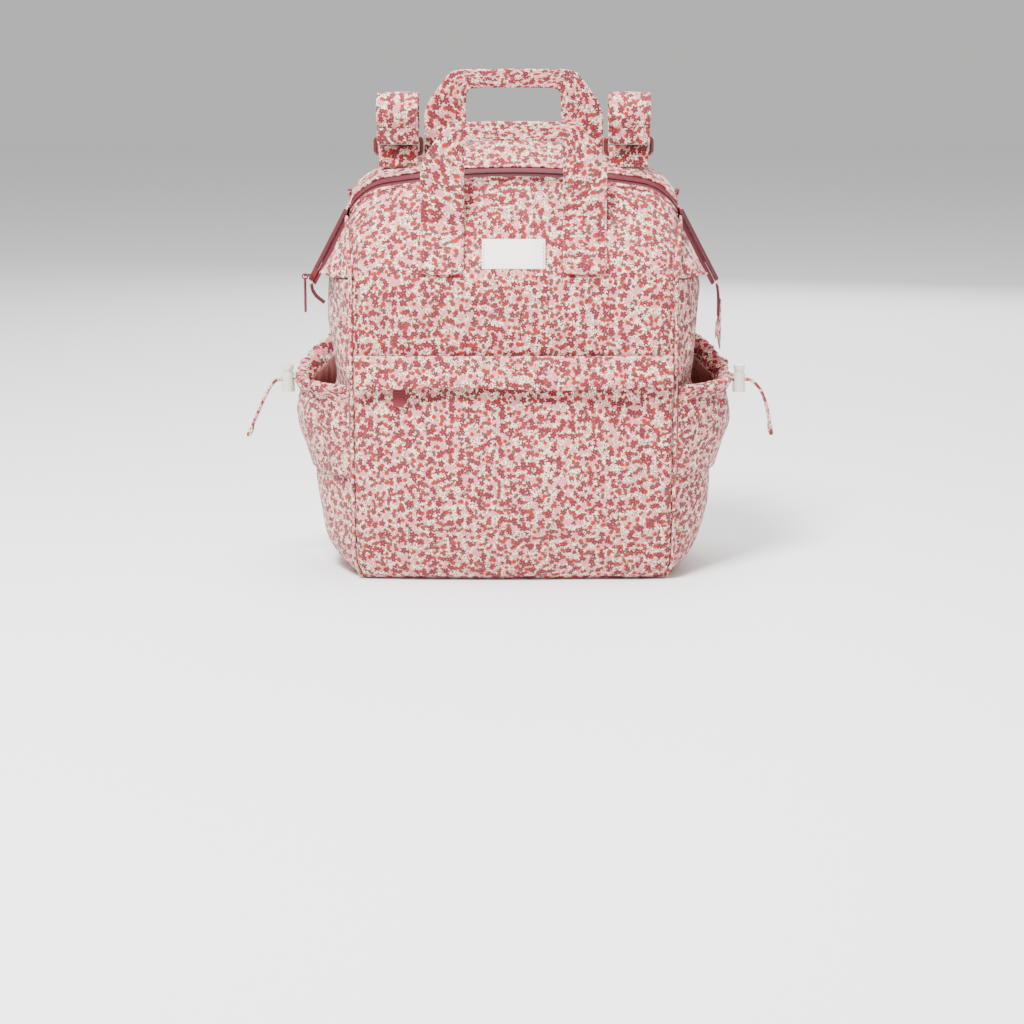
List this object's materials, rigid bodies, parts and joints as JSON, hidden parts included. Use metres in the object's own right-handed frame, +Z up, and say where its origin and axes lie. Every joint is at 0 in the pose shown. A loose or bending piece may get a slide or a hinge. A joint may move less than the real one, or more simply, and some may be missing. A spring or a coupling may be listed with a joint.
{
  "type": "diaper bag",
  "caption": "Soft flower-print changing backpack with a wide zipped mouth, carry handles, drawstring side pockets, a zipped front pocket and pram straps.",
  "frame": {"origin": "middle of the underside of the flat base, on the surface that the bag stands on", "axes": "+X to the right as seen from the front, +Y from the front pocket to the back, +Z up to the handles"},
  "size_m": [0.5381, 0.2192, 0.5004],
  "materials": {
    "print_fabric": "heavy cotton canvas with a small all-over flower print",
    "lining": "smooth dusty rose lining with a small woven spot",
    "board": "matt board",
    "zip_tape": "woven dusty rose zip tape",
    "zip_metal": "gloss painted",
    "puller": "satin moulded tab",
    "ring_metal": "deep red, gloss",
    "lock_plastic": "cream moulded",
    "spring_steel": "plain wire",
    "webbing": "cream ribbed webbing",
    "label": "smooth cream patch"
  },
  "bodies": {
    "bag_body": {"base_panel": "print_fabric", "base_board": "board", "front_wall": "print_fabric", "back_panel": "print_fabric", "gusset_left": "print_fabric", "gusset_right": "print_fabric", "gusset_folds": "print_fabric", "mouth_ear_left": "print_fabric", "mouth_ear_right": "print_fabric", "zip_slopes": "zip_tape", "zip_tail_left": "zip_tape", "zip_tail_right": "zip_tape", "zip_end_tab": "print_fabric", "main_lining": "lining", "inner_pocket": "lining", "front_pocket_panel": "print_fabric", "pocket_flap": "print_fabric", "pocket_zip_tapes": "zip_tape", "side_pocket_left": "print_fabric", "side_pocket_right": "print_fabric", "pocket_hem_left": "print_fabric", "pocket_hem_right": "print_fabric", "pocket_cords": "webbing", "cord_tail_left": "print_fabric", "cord_tail_right": "print_fabric", "cord_ends": "print_fabric", "shoulder_pad_left": "print_fabric", "shoulder_pad_right": "print_fabric", "webbing": "webbing", "strap_tabs": "print_fabric"},
    "mouth_front": {"front_mouth_panel": "print_fabric", "front_frame_wire": "spring_steel", "front_zip_tape": "zip_tape", "front_handle_tabs": "print_fabric", "label": "label"},
    "mouth_rear": {"rear_mouth_panel": "print_fabric", "rear_frame_wire": "spring_steel", "rear_zip_tape": "zip_tape", "rear_handle_tabs": "print_fabric", "strap_anchors": "print_fabric"},
    "front_handle": {"front_handle": "print_fabric"},
    "rear_handle": {"rear_handle": "print_fabric"},
    "zip_slider": {"zip_slider": "zip_metal"},
    "zip_ring": {"zip_puller_ring": "zip_metal"},
    "zip_tab": {"zip_puller_tab": "puller"},
    "pocket_slider": {"pocket_slider": "zip_metal"},
    "pocket_puller": {"pocket_puller": "puller"},
    "ring_left": {"ring_left": "ring_metal"},
    "ring_right": {"ring_right": "ring_metal"},
    "strap_left": {"stroller_strap_left": "print_fabric"},
    "strap_right": {"stroller_strap_right": "print_fabric"},
    "lock_left": {"lock_body_left": "lock_plastic", "lock_spring_left": "spring_steel"},
    "lock_right": {"lock_body_right": "lock_plastic", "lock_spring_right": "spring_steel"},
    "button_left": {"lock_button_left": "lock_plastic"},
    "button_right": {"lock_button_right": "lock_plastic"},
    "adjuster_left": {"adjuster_left": "ring_metal"},
    "adjuster_right": {"adjuster_right": "ring_metal"}
  },
  "joints": [
    {"name": "mouth_front_open", "type": "hinge", "parent": "bag_body", "child": "mouth_front", "pos_m": [0, -0.084, 0.3], "axis": [1, 0, 0], "range_deg": [0, 45]},
    {"name": "mouth_rear_open", "type": "hinge", "parent": "bag_body", "child": "mouth_rear", "pos_m": [0, 0.084, 0.3], "axis": [-1, 0, 0], "range_deg": [0, 40]},
    {"name": "front_handle_fold", "type": "hinge", "parent": "mouth_front", "child": "front_handle", "pos_m": [0, -0.0688, 0.352], "axis": [1, 0, 0], "range_deg": [0, 140]},
    {"name": "rear_handle_fold", "type": "hinge", "parent": "mouth_rear", "child": "rear_handle", "pos_m": [0, 0.0479, 0.4], "axis": [-1, 0, 0], "range_deg": [0, 140]},
    {"name": "zip_slide", "type": "slide", "parent": "bag_body", "child": "zip_slider", "axis": [0.4695, 0, 0.8829], "range_m": [0, 0.005]},
    {"name": "zip_ring_swing", "type": "hinge", "parent": "zip_slider", "child": "zip_ring", "pos_m": [-0.20828, -0.026, 0.29975], "axis": [0, 1, 0], "range_deg": [-2, 60]},
    {"name": "zip_tab_swing", "type": "hinge", "parent": "zip_ring", "child": "zip_tab", "pos_m": [-0.20828, -0.026, 0.29585], "axis": [1, 0, 0], "range_deg": [-25, 25]},
    {"name": "pocket_zip_slide", "type": "slide", "parent": "bag_body", "child": "pocket_slider", "axis": [1, 0, 0], "range_m": [0, 0.224]},
    {"name": "pocket_puller_swing", "type": "hinge", "parent": "pocket_slider", "child": "pocket_puller", "pos_m": [-0.112, -0.097, 0.2094], "axis": [0, 1, 0], "range_deg": [-35, 35]},
    {"name": "ring_left_swing", "type": "hinge", "parent": "mouth_rear", "child": "ring_left", "pos_m": [-0.115, 0.004, 0.418], "axis": [1, 0, 0], "range_deg": [-25, 25]},
    {"name": "ring_right_swing", "type": "hinge", "parent": "mouth_rear", "child": "ring_right", "pos_m": [0.115, 0.004, 0.418], "axis": [1, 0, 0], "range_deg": [-25, 25]},
    {"name": "strap_left_swing", "type": "hinge", "parent": "ring_left", "child": "strap_left", "pos_m": [-0.115, 0.004, 0.4335], "axis": [1, 0, 0], "range_deg": [-20, 20]},
    {"name": "strap_right_swing", "type": "hinge", "parent": "ring_right", "child": "strap_right", "pos_m": [0.115, 0.004, 0.4335], "axis": [1, 0, 0], "range_deg": [-20, 20]},
    {"name": "lock_left_slide", "type": "slide", "parent": "bag_body", "child": "lock_left", "axis": [-1, 0, 0], "range_m": [0, 0.004]},
    {"name": "lock_right_slide", "type": "slide", "parent": "bag_body", "child": "lock_right", "axis": [1, 0, 0], "range_m": [0, 0.004]},
    {"name": "button_left_press", "type": "slide", "parent": "lock_left", "child": "button_left", "axis": [0, 0, -1], "range_m": [0, 0.0025], "stiffness_N_per_m": 400, "springref_m": -0.002, "deforming": ["lock_spring_left"]},
    {"name": "button_right_press", "type": "slide", "parent": "lock_right", "child": "button_right", "axis": [0, 0, -1], "range_m": [0, 0.0025], "stiffness_N_per_m": 400, "springref_m": -0.002, "deforming": ["lock_spring_right"]},
    {"name": "adjuster_left_slide", "type": "slide", "parent": "bag_body", "child": "adjuster_left", "axis": [-0.4073, -0.0852, -0.9093], "range_m": [0, 0.018]},
    {"name": "adjuster_right_slide", "type": "slide", "parent": "bag_body", "child": "adjuster_right", "axis": [0.4073, -0.0852, -0.9093], "range_m": [0, 0.018]}
  ]
}
